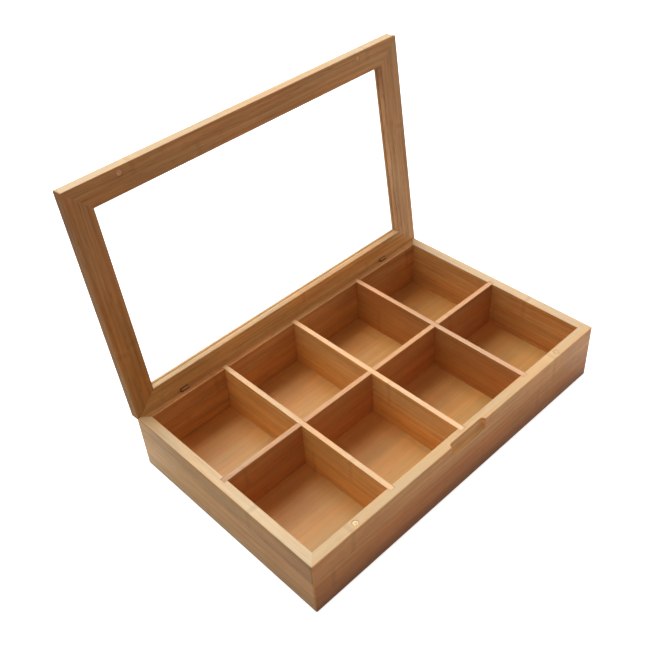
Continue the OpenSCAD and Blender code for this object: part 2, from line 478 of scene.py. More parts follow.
    def finish(self, shader: Socket) -> bpy.types.Material | bpy.types.World:
        """Send a shader to the surface, or to the sky.

        Args:
            shader: The shader's output.

        Returns:
            The finished material or world.
        """
        is_sky = isinstance(self.owner, bpy.types.World)
        kind = "ShaderNodeOutputWorld" if is_sky else "ShaderNodeOutputMaterial"
        self.add(kind, {"Surface": shader})
        return self.owner


# ---- Finishes ----------------------------------------------------------------------------------


@dataclass(frozen=True)
class Member:
    """How a bamboo member is sawn from its laminated strips.

    Attributes:
        grain: The direction of the fibres.
        across: The direction in which the strips lie side by side.
        seam: Where the first glue line lies across the strips, in millimetres.
        strip: The width of a strip, in millimetres.
        seed: A number that makes this member's figure its own.
        strip_tones_and_painted_light: The tint at the middle of each strip, from the one before
            the first glue line; beside the strips' own tones, it holds painted light and shade.
        sanding_and_painted_highlight: How much of the sanded colour, which also paints a
            highlight, its upper edges take.
        flank_painted_light: The painted sheen and shade on its two long sides, as a tint, or None
            where they look as the strips do.
        fade: How much paler the wood is painted over 100 mm along the grain, as sheen; below 0 it
            is painted deeper, as shade.
        edge: The tint of its upper edges, part of their painted highlight and shade.
        edge_painted_sheen: How much paler its upper edges and tinted sides are painted over 100
            mm, as sheen.
    """

    grain: Axis
    across: Axis
    seam: float
    strip: float
    seed: float
    strip_tones_and_painted_light: tuple[Tone, ...]
    sanding_and_painted_highlight: float = 0.85
    flank_painted_light: Tone | None = None
    fade: float = 0.0
    edge: Tone = (1.0, 1.0, 1.0)
    edge_painted_sheen: float = 0.0

    def through(self) -> Axis:
        """The direction through the strips."""
        return next(axis for axis in Axis if axis not in (self.grain, self.across))


@dataclass(frozen=True)
class Feature:
    """A kind of mark in the cane, drawn out along the fibres.

    Attributes:
        length: Its length, in millimetres.
        width: Its width, in millimetres.
        detail: How many finer layers it has.
        weight: How much it deepens the colour.
        relief: How much of the bumps' height it makes.
    """

    length: float
    width: float
    detail: float
    weight: float = 0.0
    relief: float = 0.0


@dataclass(frozen=True)
class Cane:
    """What all the bamboo has in common, with lengths in millimetres.

    A span holds the two values between which something comes up or dies away.

    Attributes:
        streaks: The long streaks.
        fibres: The dense fibres.
        clouds: The broad clouds.
        flecks: The short dark flecks.
        fleck_span: How strong the noise is where a fleck comes up.
        patches: The warm and cool patches.
        patch_span: How strong the noise is where a patch turns from warm to cool.
        warm: The tint of a warm patch.
        cool: The tint of a cool patch.
        middle: How deep the colour is where no mark lightens or deepens it.
        fuzz: How much less of the sanded colour the dense fibres take.
        strip_shift: How far the figure may shift along the grain from strip to strip.
        waver: How far a node wavers along the grain.
        waver_width: The width of one such waver.
        node_span: How far from a node's middle its dark line dies away.
        node_relief: How high the node stands, as a share of the bumps.
        halo_span: How far from a node's middle the paler band beside it dies away.
        halo: How much paler that band is.
        glue_span: How far from a glue line's middle it dies away.
        glue_relief: How deep the glue line lies, as a share of the bumps.
        painted_foot_shadow_span: How high over the underside the painted shadow at the foot dies
            away.
        top_span: How far up a face looks where it turns into an upper edge.
        flank_span: How far across the strips a face looks where it turns into a flank.
        worn_span: How well a rounded edge agrees with its face where the wear dies away.
        painted_sheen_length: The length over which a member's painted sheen is given.
        painted_sheen_tint: How much of that painted sheen red, green and blue take.
        cloud_rub: How much rougher the clouds are.
        fleck_rub: How much rougher the flecks are.
        flank_rub: How much rougher a tinted flank is.
        rounding: The radius of the edges.
        bumps: The height of the bumps.
    """

    streaks: Feature = Feature(110.0, 2.6, 3.0, weight=1.5, relief=0.5)
    fibres: Feature = Feature(22.0, 0.55, 2.0, weight=0.7, relief=0.5)
    clouds: Feature = Feature(60.0, 22.0, 2.0, weight=0.8)
    flecks: Feature = Feature(9.0, 0.45, 0.0, weight=0.28, relief=-0.4)
    fleck_span: Span = (0.60, 0.72)
    patches: Feature = Feature(75.0, 16.0, 1.0)
    patch_span: Span = (0.36, 0.64)
    warm: Tone = (1.045, 0.99, 0.93)
    cool: Tone = (0.96, 1.01, 1.06)
    middle: float = 0.42
    fuzz: float = 0.45
    strip_shift: float = 900.0
    waver: float = 6.0
    waver_width: float = 9.0
    node_span: Span = (0.4, 3.2)
    node_relief: float = 0.6
    halo_span: Span = (3.0, 12.0)
    halo: float = 0.05
    glue_span: Span = (0.05, 0.35)
    glue_relief: float = -0.8
    painted_foot_shadow_span: Span = (0.5, 5.0)
    top_span: Span = (0.75, 0.97)
    flank_span: Span = (0.6, 0.8)
    worn_span: Span = (0.80, 0.99)
    painted_sheen_length: float = 100.0
    painted_sheen_tint: Tone = (0.7, 1.0, 1.4)
    cloud_rub: float = 0.10
    fleck_rub: float = 0.08
    flank_rub: float = 0.3
    rounding: float = 0.35
    bumps: float = 0.05


@dataclass(frozen=True)
class Marks:
    """The marks in the wood at a point.

    Attributes:
        share: How deep the colour is, from 0 for the pale one to 1 for the deep one.
        clouds: The broad clouds, from 0 to 1.
        flecks: The short dark flecks, from 0 to 1.
        node: The dark line of a node, from 0 to 1.
        halo: The paler band on both sides of it, from 0 to 1.
        glue: The line of glue between two strips, from 0 to 1.
        height: The height of the bumps that they all make.
    """

    share: Socket
    clouds: Socket
    flecks: Socket
    node: Socket
    halo: Socket
    glue: Socket
    height: Socket


@dataclass(frozen=True)
class BambooFinish:
    """Caramel bamboo under a satin lacquer.

    Attributes:
        name: The finish's name.
        pale: The colour between the fibres.
        deep: The colour of the dense fibres.
        sanded_and_painted_highlight: The colour of upper edges, where the saw and the sanding open
            the grain, with a painted highlight.
        figure: How strongly the fibres show, where 1 is the figure of a wide strip.
        tone_spread: How much strips differ in tone by chance.
        node_gap: The distance between two nodes of the cane, in millimetres.
        node_depth: How much a node darkens the wood.
        seam_depth: How much a glue line darkens it.
        painted_foot_shadow: How much darker the wood is painted at the box's foot, as the shadow
            where it meets the floor.
        wear: How much of the sanded colour rubbed edges take.
        gloss: The lacquer's roughness.
        shine: How strongly the lacquer reflects, where 0.5 is plain varnish.
        cane: What it has in common with all the other bamboo.
    """

    name: str
    pale: Colour
    deep: Colour
    sanded_and_painted_highlight: Colour
    figure: float = 1.0
    tone_spread: float = 0.10
    node_gap: float = 230.0
    node_depth: float = 0.13
    seam_depth: float = 0.16
    painted_foot_shadow: float = 0.22
    wear: float = 0.35
    gloss: float = 0.36
    shine: float = 0.5
    cane: Cane = Cane()

    def material(self, node: str, member: Member, pose: LidPose | None) -> bpy.types.Material:
        """Build the finish for one member.

        Args:
            node: The member's name.
            member: How the member is sawn.
            pose: The lid's pose for a piece of the lid, or None for a piece of the box.

        Returns:
            The material.
        """
        return SawnWood(self, member, pose, f"{self.name}_{node}").material()


class SawnWood:
    """The wood of one member, drawn in its material's graph with lengths in millimetres.

    Attributes:
        finish: The finish to draw.
        cane: What it has in common with all the other bamboo.
        member: How the member is sawn.
        graph: The material's graph.
        along: The place of a point along the grain.
        across: Its place across the strips.
        depth: Its place through the strips.
        height: Its height over the underside, with the lid shut.
        strip_place: Its place across, counted in strips from the first glue line.
        luck: The random number of its strip.
        run: Its place along the grain, with the strip's own shift.
        top: 1 on an upper edge, where a highlight is painted.
        side: 1 on a side with painted sheen and shade of its own.
    """

    def __init__(
        self, finish: BambooFinish, member: Member, pose: LidPose | None, name: str
    ) -> None:
        """Find where a point lies in the wood.

        Args:
            finish: The finish to draw.
            member: How the member is sawn.
            pose: The lid's pose for a piece of the lid, or None for a piece of the box.
            name: The material's name.
        """
        self.finish, self.cane, self.member = finish, finish.cane, member
        self.graph = graph = ShaderGraph(bpy.data.materials.new(name))
        place, facing, upward = self.shut_coordinates(pose)
        coordinates = graph.split(place)
        self.along = coordinates[member.grain.value]
        self.across = coordinates[member.across.value]
        self.depth = coordinates[member.through().value]
        self.height = coordinates[Axis.Z.value]
        from_line = graph.calc("SUBTRACT", self.across, member.seam)
        self.strip_place = graph.calc("DIVIDE", from_line, member.strip)
        strip_number = graph.calc("FLOOR", self.strip_place)
        self.luck = graph.chance(graph.calc("ADD", strip_number, member.seed))
        self.run = graph.calc("MULTIPLY_ADD", self.luck, self.cane.strip_shift, self.along)
        self.top = graph.rise(upward, *self.cane.top_span)
        self.side = self.painted_light_side(facing)

    def shut_coordinates(self, pose: LidPose | None) -> tuple[Socket, Socket, Socket]:
        """Find where a point lies, with the lid's wood read as if the lid were shut.

        Args:
            pose: The lid's pose for a piece of the lid, or None for a piece of the box.

        Returns:
            The place in millimetres, the surface's direction, and how far it looks up at rest.
        """
        graph = self.graph
        source = graph.add("ShaderNodeTexCoord")
        place, facing = source.outputs["Object"], source.outputs["Normal"]
        upward = graph.split(facing)[Axis.Z.value]
        if pose is not None:
            turn = (pose.open_angle, 0.0, 0.0)
            place = graph.mapped(place, Mapped.PLACE, turn, pose.shut_offset())
            facing = graph.mapped(facing, Mapped.DIRECTION, turn)
        return graph.scaled(place, 1 / MM), facing, upward

    def painted_light_side(self, facing: Socket) -> Value:
        """Find the two long sides, where sheen and shade are painted on them.

        Args:
            facing: The surface's direction.

        Returns:
            A number from 0 to 1, which is 1 on a side with painted sheen and shade.
        """
        if self.member.flank_painted_light is None:
            return 0.0
        sideways = self.graph.split(facing)[self.member.across.value]
        return self.graph.rise(self.graph.calc("ABSOLUTE", sideways), *self.cane.flank_span)

    def material(self) -> bpy.types.Material:
        """Draw the wood.

        Returns:
            The material.
        """
        graph, finish, cane = self.graph, self.finish, self.cane
        marks = self.marks()
        rounded = graph.softened(cane.rounding * MM)
        colour = graph.times(graph.blend(marks.share, finish.pale, finish.deep), self.strip_and_painted_light_tint())
        # Upper faces take the sanded colour, which also paints their highlight.
        colour = graph.blend(self.opened_grain_and_painted_highlight(marks.share, rounded), colour, finish.sanded_and_painted_highlight)
        colour = graph.times(colour, graph.blend(self.top, WHITE, (*self.member.edge, 1.0)))
        colour = graph.times(colour, self.patch_tint())
        colour = graph.scaled(colour, self.tone(marks))
        colour = graph.times(colour, self.painted_sheen_along_grain())

        gloss = finish.gloss - cane.cloud_rub * NOISE_MIDDLE
        rub = graph.calc("MULTIPLY_ADD", marks.clouds, cane.cloud_rub, gloss)
        rub = graph.calc("MULTIPLY_ADD", marks.flecks, cane.fleck_rub, rub)
        rub = graph.calc("MULTIPLY_ADD", self.side, cane.flank_rub, rub)

        look = {
            "Base Color": colour,
            "Roughness": rub,
            "Normal": graph.relief(marks.height, cane.bumps * MM, rounded),
            "Specular IOR Level": finish.shine,
        }
        return graph.finish(graph.add("ShaderNodeBsdfPrincipled", look).outputs[0])

    def marks(self) -> Marks:
        """Draw the cane's figure, its nodes and the glue lines.

        Returns:
            The marks.
        """
        graph, cane = self.graph, self.cane
        features = (cane.streaks, cane.fibres, cane.clouds)
        noises = [self.stretched(feature, self.across, self.depth) for feature in features]
        flecks = self.stretched(cane.flecks, self.across, self.depth)
        flecks = graph.rise(flecks, *cane.fleck_span)
        node, halo = self.cane_nodes()
        glue = self.glue_line()

        share: Value = 0.0
        height: Value = 0.0
        for noise, feature in zip(noises, features, strict=True):
            swing = graph.calc("SUBTRACT", noise, NOISE_MIDDLE)
            share = graph.calc("MULTIPLY_ADD", swing, feature.weight, share)
            height = graph.calc("MULTIPLY_ADD", noise, feature.relief, height)
        share = graph.calc("MULTIPLY_ADD", flecks, cane.flecks.weight, share)
        share = graph.calc("MULTIPLY_ADD", share, self.finish.figure, cane.middle, clamp=True)
        height = graph.calc("MULTIPLY_ADD", flecks, cane.flecks.relief, height)
        height = graph.calc("MULTIPLY_ADD", glue, cane.glue_relief, height)
        height = graph.calc("MULTIPLY_ADD", node, cane.node_relief, height)
        return Marks(share, noises[-1], flecks, node, halo, glue, height)

    def stretched(self, feature: Feature, across: Socket, depth: Socket) -> Socket:
        """Noise drawn out along the fibres.

        Args:
            feature: The size of the marks to draw.
            across: The first of the two places to read it at beside the grain.
            depth: The second of them.

        Returns:
            A number from 0 to 1.
        """
        spot = self.graph.gather(
            self.graph.calc("DIVIDE", self.run, feature.length),
            self.graph.calc("DIVIDE", across, feature.width),
            self.graph.calc("DIVIDE", depth, feature.width),
        )
        return self.graph.noise(spot, feature.detail)

    def cane_nodes(self) -> tuple[Socket, Socket]:
        """The nodes of the cane, which cross each strip at a place of its own.

        Returns:
            The dark line of a node, and the paler band on both sides of it.
        """
        graph, cane, gap = self.graph, self.cane, self.finish.node_gap
        place = graph.gather(self.luck, graph.calc("DIVIDE", self.across, cane.waver_width), 0.0)
        wavy = graph.calc("MULTIPLY_ADD", graph.noise(place, detail=1.0), cane.waver, self.run)
        share = graph.calc("FRACT", graph.calc("DIVIDE", wavy, gap))
        distance = graph.calc("ABSOLUTE", graph.calc("SUBTRACT", share, 0.5))
        distance = graph.calc("MULTIPLY", distance, gap)
        return graph.fall(distance, *cane.node_span), graph.fall(distance, *cane.halo_span)

    def glue_line(self) -> Socket:
        """The thin dark line where two strips are glued.

        Returns:
            A number from 0 to 1, which is 1 on a line.
        """
        graph = self.graph
        share = graph.calc("FRACT", self.strip_place)
        nearest = graph.calc("MINIMUM", share, graph.calc("SUBTRACT", 1.0, share))
        return graph.fall(graph.calc("MULTIPLY", nearest, self.member.strip), *self.cane.glue_span)

    def strip_and_painted_light_tint(self) -> Socket:
        """The tint of each strip, with its painted light and shade, which runs softly into the
        next one's, or the painted sheen and shade of a tinted side.

        Returns:
            The tint to multiply the wood by.
        """
        graph, strip_tones_and_painted_light, flank_painted_light = self.graph, self.member.strip_tones_and_painted_light, self.member.flank_painted_light
        choice = graph.add("ShaderNodeValToRGB")
        choice.color_ramp.interpolation = "EASE"
        stops = choice.color_ramp.elements
        while len(stops) > 1:
            stops.remove(stops[-1])
        for number, tone in enumerate(strip_tones_and_painted_light):
            middle = (number + 0.5) / len(strip_tones_and_painted_light)
            stop = stops[0] if number == 0 else stops.new(middle)
            stop.position = middle
            stop.color = (*tone, 1.0)
        share = graph.calc("DIVIDE", graph.calc("ADD", self.strip_place, 1.0), float(len(strip_tones_and_painted_light)))
        graph.feed(choice.inputs[0], share)
        strips = choice.outputs[0]
        return strips if flank_painted_light is None else graph.blend(self.side, strips, (*flank_painted_light, 1.0))

    def opened_grain_and_painted_highlight(self, share: Socket, rounded: Socket) -> Socket:
        """Find where sanding and wear have opened the grain, and where a highlight is painted on
        upper faces.

        Args:
            share: How deep the colour of the figure is.
            rounded: The surface direction with rounded edges.

        Returns:
            How much of the sanded colour, with its painted highlight, to use.
        """
        graph, cane = self.graph, self.cane
        true_normal = graph.add("ShaderNodeNewGeometry").outputs["True Normal"]
        rubbed = graph.fall(graph.dot(rounded, true_normal), *cane.worn_span, self.finish.wear)
        swing = graph.calc("SUBTRACT", share, cane.middle)
        fuzzy = graph.calc("MULTIPLY_ADD", swing, -cane.fuzz, 1.0)
        sanded_and_painted_highlight = graph.calc("MULTIPLY", self.top, self.member.sanding_and_painted_highlight)
        sanded_and_painted_highlight = graph.calc("MULTIPLY", sanded_and_painted_highlight, fuzzy, clamp=True)
        return graph.calc("MAXIMUM", sanded_and_painted_highlight, rubbed)

    def patch_tint(self) -> Socket:
        """The tint of the warm and cool patches, which don't follow the other marks.

        Returns:
            The tint to multiply the wood by.
        """
        graph, cane = self.graph, self.cane
        share = graph.rise(self.stretched(cane.patches, self.depth, self.across), *cane.patch_span)
        return graph.blend(share, (*cane.warm, 1.0), (*cane.cool, 1.0))

    def tone(self, marks: Marks) -> Socket:
        """How light the wood is for its strip, at nodes and glue lines, and with a painted shadow
        near the foot.

        Args:
            marks: The marks in the wood.

        Returns:
            The number to multiply the colour by.
        """
        graph, finish, cane = self.graph, self.finish, self.cane
        swing = graph.calc("SUBTRACT", self.luck, NOISE_MIDDLE)
        tone = graph.calc("MULTIPLY_ADD", swing, finish.tone_spread, 1.0)
        tone = graph.calc("MULTIPLY_ADD", marks.node, -finish.node_depth, tone)
        tone = graph.calc("MULTIPLY_ADD", marks.halo, cane.halo, tone)
        tone = graph.calc("MULTIPLY_ADD", marks.glue, -finish.seam_depth, tone)
        # Painted shadow along the foot, where the box stands on the floor.
        foot = graph.fall(self.height, *cane.painted_foot_shadow_span, finish.painted_foot_shadow)
        return graph.calc("SUBTRACT", tone, foot)

    def painted_sheen_along_grain(self) -> Socket:
        """The tint of painted sheen, which makes the wood paler along the grain.

        Returns:
            The tint to multiply the wood by.
        """
        graph, cane, member = self.graph, self.cane, self.member
        # Painted sheen along the grain, with its own rate on upper edges and tinted sides.
        turn = (member.edge_painted_sheen - member.fade) / cane.painted_sheen_length
        edges = graph.calc("MAXIMUM", self.top, self.side)
        rate = graph.calc("MULTIPLY_ADD", edges, turn, member.fade / cane.painted_sheen_length)
        paler = graph.calc("MULTIPLY", self.along, rate)
        channels = (graph.calc("MULTIPLY_ADD", paler, share, 1.0) for share in cane.painted_sheen_tint)
        return graph.gather(*channels)


@dataclass(frozen=True)
class MetalFinish:
    """A plated or drawn metal with fine rubs.

    Attributes:
        name: The finish's name.
        colour: The metal's colour.
        shadow: The colour of its dull spots.
        gloss: The roughness where it is clean.
        wear: How much rougher the dull spots are.
        spots: How many spots there are in a millimetre.
        spot_span: How strong the noise is where a spot comes up.
        rubs: How many fine rubs there are in a millimetre.
        rub: How much rougher the rubs make it.
        rub_depth: The depth of the rubs, in millimetres.
        rounding: The radius of the edges, in millimetres.
    """

    name: str
    colour: Colour
    shadow: Colour
    gloss: float
    wear: float
    spots: float = 0.9
    spot_span: Span = (0.45, 0.75)
    rubs: float = 6.0
    rub: float = 0.08
    rub_depth: float = 0.004
    rounding: float = 0.08

    def material(self) -> bpy.types.Material:
        """Build the finish.

        Returns:
            The material.
        """
        graph = ShaderGraph(bpy.data.materials.new(self.name))
        place = graph.millimetres()
        spots = graph.noise(graph.scaled(place, self.spots), detail=4.0, roughness=0.6)
        rubs = graph.noise(graph.scaled(place, self.rubs), detail=3.0, roughness=0.7)
        dull = graph.rise(spots, *self.spot_span)
        roughness = graph.calc("MULTIPLY_ADD", dull, self.wear, self.gloss)
        roughness = graph.calc("MULTIPLY_ADD", rubs, self.rub, roughness)
        rounded = graph.softened(self.rounding * MM)
        look = {
            "Base Color": graph.blend(dull, self.colour, self.shadow),
            "Roughness": roughness,
            "Normal": graph.relief(rubs, self.rub_depth * MM, rounded),
            "Metallic": 1.0,
        }
        return graph.finish(graph.add("ShaderNodeBsdfPrincipled", look).outputs[0])


@dataclass(frozen=True)
class PaneFinish:
    """Clear sheet glass with the faint haze of handling.

    Attributes:
        name: The finish's name.
        body: The glass's own colour.
        haze: How rough the haze makes the surface.
        wipe: The size of a wipe mark in the haze, in millimetres.
        wipe_span: How strong the noise is where a wipe mark comes up.
        bending: The glass's index of refraction.
    """

    name: str
    body: Colour
    haze: float
    wipe: float = 45.0
    wipe_span: Span = (0.5, 0.8)
    bending: float = 1.49

    def material(self) -> bpy.types.Material:
        """Build the finish.

        Returns:
            The material.
        """
        graph = ShaderGraph(bpy.data.materials.new(self.name))
        place = graph.scaled(graph.millimetres(), 1 / self.wipe)
        wipes = graph.noise(place, detail=3.0, roughness=0.6)
        look = {
            "Base Color": self.body,
            "Roughness": graph.rise(wipes, *self.wipe_span, self.haze),
            "Transmission Weight": 1.0,
            "IOR": self.bending,
        }
        glass = graph.add("ShaderNodeBsdfPrincipled", look)
        clear = graph.add("ShaderNodeBsdfTransparent", {"Color": self.body})
        in_shadow = graph.add("ShaderNodeLightPath").outputs["Is Shadow Ray"]
        return graph.finish(graph.choose(in_shadow, glass.outputs[0], clear.outputs[0]))


@dataclass(frozen=True)
class Finishes:
    """Every finish on the box."""

    wall: BambooFinish = BambooFinish(
        "wall_bamboo", pale=tint(209, 146, 84), deep=tint(162, 98, 44), sanded_and_painted_highlight=tint(224, 190, 143),
        figure=0.9, seam_depth=0.09, shine=0.36,
    )
    board: BambooFinish = BambooFinish(
        "board_bamboo", pale=tint(224, 164, 88), deep=tint(198, 136, 62),
        sanded_and_painted_highlight=tint(220, 176, 124), figure=0.6, node_depth=0.08, seam_depth=0.07,
        painted_foot_shadow=0.0, gloss=0.44,
    )
    divider: BambooFinish = BambooFinish(
        "divider_bamboo", pale=tint(208, 150, 90), deep=tint(166, 104, 51),
        sanded_and_painted_highlight=tint(233, 192, 147), figure=0.8, seam_depth=0.09,
    )
    lid: BambooFinish = BambooFinish(
        "lid_bamboo", pale=tint(206, 144, 80), deep=tint(156, 95, 42), sanded_and_painted_highlight=tint(226, 195, 150),
        seam_depth=0.10, wear=0.15, shine=0.30,
    )
    nickel: MetalFinish = MetalFinish(
        "magnet_nickel", colour=tint(181, 154, 118), shadow=tint(136, 108, 78),
        gloss=0.38, wear=0.15,
    )
    # The lid's magnets are painted browner, as the wood that they reflect.
    lid_nickel_painted_reflection: MetalFinish = MetalFinish(
        "lid_nickel_painted_reflection", colour=tint(166, 122, 84), shadow=tint(138, 98, 66),
        gloss=0.45, wear=0.15,
    )
    # Brass, painted dark as the shade that fills the hinge slots.
    brass_painted_shade: MetalFinish = MetalFinish(
        "hinge_brass", colour=tint(130, 85, 50), shadow=tint(86, 54, 32),
        gloss=0.42, wear=0.2,
    )
    pane: PaneFinish = PaneFinish("clear_pane", body=tint(252, 253, 252), haze=0.04)


# ---- The box -----------------------------------------------------------------------------------


@dataclass
class Carcass:
    """The four mitred walls and the bottom board.

    Attributes:
        lower_seam: The height of the walls' lower glue line, in millimetres.
        strip: The width of the walls' strips, in millimetres.
        board_strip: The width of the bottom board's strips, in millimetres.
        front_strips: How many of them lie between the board's first glue line and its middle.
    """

    lower_seam: float = 11.6
    strip: float = 20.4
    board_strip: float = 19.0
    front_strips: int = 4

    def members(self) -> dict[str, Member]:
        """How the walls are sawn.

        Returns:
            A member for each wall.
        """
        across = (Axis.Z, self.lower_seam, self.strip)
        return {
            # The front wall's strips grow darker and deeper towards the bottom; the top strip's
            # paler, greyer tint is painted sheen.
            "front_wall": Member(
                Axis.X, *across, seed=3.0,
                strip_tones_and_painted_light=((0.71, 0.52, 0.11), (1.18, 0.96, 0.50), (1.55, 1.61, 1.50)),
                fade=0.10, edge_painted_sheen=0.02,
            ),
            # The rear wall's upper edge is painted darker, without the paler sanded colour, as the
            # shade of the lid's rail over it.
            "rear_wall": Member(
                Axis.X, *across, seed=13.0,
                strip_tones_and_painted_light=((1.10, 1.30, 1.28), (1.01, 1.16, 1.21), (1.02, 1.10, 1.22)),
                sanding_and_painted_highlight=0.0, edge=(0.93, 0.88, 0.88),
            ),
            "left_wall": Member(
                Axis.Y, *across, seed=23.0,
                strip_tones_and_painted_light=((1.06, 1.46, 1.80), (1.18, 1.38, 1.42), (0.86, 0.98, 0.72)),
                sanding_and_painted_highlight=0.95, fade=0.20, edge=(1.01, 1.01, 1.04), edge_painted_sheen=-0.05,
            ),
            "right_wall": Member(
                Axis.Y, *across, seed=33.0,
                strip_tones_and_painted_light=((1.12, 1.25, 1.25), (1.14, 1.28, 1.28), (1.03, 1.15, 1.20)),
                sanding_and_painted_highlight=0.95, edge=(1.00, 1.01, 1.08),
            ),
        }

    def board_member(self) -> Member:
        """How the bottom board is sawn, with a pool of light painted on the front strips and shade
        painted on the rear ones, in both rows.

        Returns:
            The member.
        """
        # Pale strips paint the light at the front of each compartment; deep strips paint the shade
        # cast by the wall or divider behind.
        pale, deep = (1.01, 1.23, 1.47), (0.99, 0.85, 0.68)
        front_row_painted_light, rear_row_painted_light = (0.0, 0.0, 0.35, 0.75, 1.0), (0.5, 0.05, 0.5, 0.95, 1.0)
        strip_tones_and_painted_light = tuple(
            tuple(light + (dark - light) * share for light, dark in zip(pale, deep, strict=True))
            for share in front_row_painted_light + rear_row_painted_light
        )
        first_line = -self.front_strips * self.board_strip
        return Member(
            Axis.X, Axis.Y, seam=first_line, strip=self.board_strip, seed=71.0,
            strip_tones_and_painted_light=strip_tones_and_painted_light, sanding_and_painted_highlight=0.1, fade=-0.04, edge_painted_sheen=-0.04,
        )

    def dress(self, finishes: Finishes) -> None:
        """Give the walls and the board their finish.

        Args:
            finishes: The finishes to use.
        """
        for node, member in self.members().items():
            dress_node(node, finishes.wall.material(node, member, None))
        dress_node(
            "bottom_board", finishes.board.material("bottom_board", self.board_member(), None)
        )


@dataclass
class DividerGrid:
    """The long divider and the three cross dividers that are halved into it.

    Attributes:
        seam: The height of the dividers' glue line, in millimetres.
        strip: The width of the dividers' strips, in millimetres.
    """

    seam: float = 30.5
    strip: float = 21.9

    def members(self) -> dict[str, Member]:
        """How the dividers are sawn.

        Returns:
            A member for each divider.
        """
        across = (Axis.Z, self.seam, self.strip)
        return {
            # Each divider's lower strip is tinted paler: painted light thrown up from the floor.
            "long_divider": Member(
                Axis.X, *across, seed=105.0,
                strip_tones_and_painted_light=((1.04, 1.03, 1.05), (0.94, 0.90, 0.90)),
                sanding_and_painted_highlight=0.36, fade=-0.03, edge=(1.03, 1.00, 1.00), edge_painted_sheen=0.15,
            ),
            "cross_divider_left": Member(
                Axis.Y, *across, seed=115.0,
                strip_tones_and_painted_light=((1.38, 1.49, 1.14), (1.23, 1.35, 1.21)),
                sanding_and_painted_highlight=0.8, fade=-0.06, edge=(0.97, 0.94, 0.90), edge_painted_sheen=-0.19,
            ),
            "cross_divider_middle": Member(
                Axis.Y, *across, seed=125.0,
                strip_tones_and_painted_light=((1.33, 1.46, 1.14), (1.20, 1.39, 1.42)),
                sanding_and_painted_highlight=1.0, fade=-0.07, edge=(1.07, 1.01, 0.97), edge_painted_sheen=-0.21,
            ),
            "cross_divider_right": Member(
                Axis.Y, *across, seed=135.0,
                strip_tones_and_painted_light=((0.91, 0.82, 0.56), (0.75, 0.69, 0.60)),
                sanding_and_painted_highlight=0.6, fade=-0.07, edge=(1.05, 0.95, 0.96), edge_painted_sheen=-0.21,
            ),
        }

    def dress(self, finishes: Finishes) -> None:
        """Give the dividers their finish.

        Args:
            finishes: The finishes to use.
        """
        for node, member in self.members().items():
            dress_node(node, finishes.divider.material(node, member, None))


@dataclass
class LidFrame:
    """The mitred frame of the lid and its pane.

    Attributes:
        pose: Where the lid turns and stands at rest.
        margin: How far the first glue line lies outside the frame, in millimetres.
        strip: The width of the rails' strips, in millimetres.
    """

    pose: LidPose
    margin: float = 0.4
    strip: float = 10.4

    def members(self) -> dict[str, Member]:
        """How the rails and stiles are sawn.

        Returns:
            A member for each of them.
        """
        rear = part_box("rear_wall")[1].y / MM + self.margin
        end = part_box("right_wall")[1].x / MM + self.margin
        return {
            "lid_front_rail": Member(
                Axis.X, Axis.Y, seam=-rear, strip=self.strip, seed=204.0,
                strip_tones_and_painted_light=((1.06, 1.08, 1.12),),
                fade=0.12, edge=(0.99, 0.97, 0.95), edge_painted_sheen=-0.02,
            ),
            # The rear rail's sides, the sill among them, are painted paler as sheen.
            "lid_rear_rail": Member(
                Axis.X, Axis.Y, seam=rear, strip=self.strip, seed=219.0,
                strip_tones_and_painted_light=((1.25, 1.46, 1.72),),
                sanding_and_painted_highlight=0.2, flank_painted_light=(0.87, 1.16, 2.0), fade=0.07, edge_painted_sheen=-0.08,
            ),
            # The left stile's sides are painted darker as shade.
            "lid_left_stile": Member(
                Axis.Y, Axis.X, seam=-end, strip=self.strip, seed=233.0,
                strip_tones_and_painted_light=((0.93, 0.89, 0.86),),
                flank_painted_light=(0.59, 0.60, 0.46), fade=0.05, edge_painted_sheen=0.36,
            ),
            # The right stile is painted paler as sheen, on its face and more on its sides.
            "lid_right_stile": Member(
                Axis.Y, Axis.X, seam=end, strip=self.strip, seed=248.0,
                strip_tones_and_painted_light=((1.22, 1.46, 2.0),),
                flank_painted_light=(0.84, 1.05, 1.74), fade=0.22, edge_painted_sheen=0.20,
            ),
        }

    def dress(self, finishes: Finishes) -> None:
        """Give the rails, stiles and pane their finish.

        Args:
            finishes: The finishes to use.
        """
        for node, member in self.members().items():
            dress_node(node, finishes.lid.material(node, member, self.pose))
        dress_node("window_pane", finishes.pane.material())


@dataclass
class MagnetPairs:
    """The disc magnets in the front rim and the lid's front rail.

    Attributes:
        pose: Where the lid turns and stands at rest.
        chamfer: The width of the bevel round each face, in metres.
    """

    pose: LidPose
    chamfer: float = 0.25 * MM

    def build(self, finishes: Finishes) -> None:
        """Turn and dress the four discs.

        Args:
            finishes: The finishes to use.
        """
        disc = size_of("base_magnet_left")
        radius, half = disc.x / 2, disc.z / 2
        inner = radius - self.chamfer
        profile = [(0.0, -half), (inner, -half), (radius, -half + self.chamfer)]
        profile += [(radius, half - self.chamfer), (inner, half), (0.0, half)]
        upright = Vector((0, 0, 1))
        axes = {Body.BASE: upright, Body.LID: self.pose.opened(upright)}
        metals = {Body.BASE: finishes.nickel.material(), Body.LID: finishes.lid_nickel_painted_reflection.material()}
        for body, axis in axes.items():
            for side in Side:
                node = f"{body.value}_magnet_{side.value}"
                piece = turned_piece(f"{node}_disc", profile, centre_of(node), axis)
                piece.data.materials.append(metals[body])
                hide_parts(node)
                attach(piece, body.value)
                log.info("built %s", piece.name)


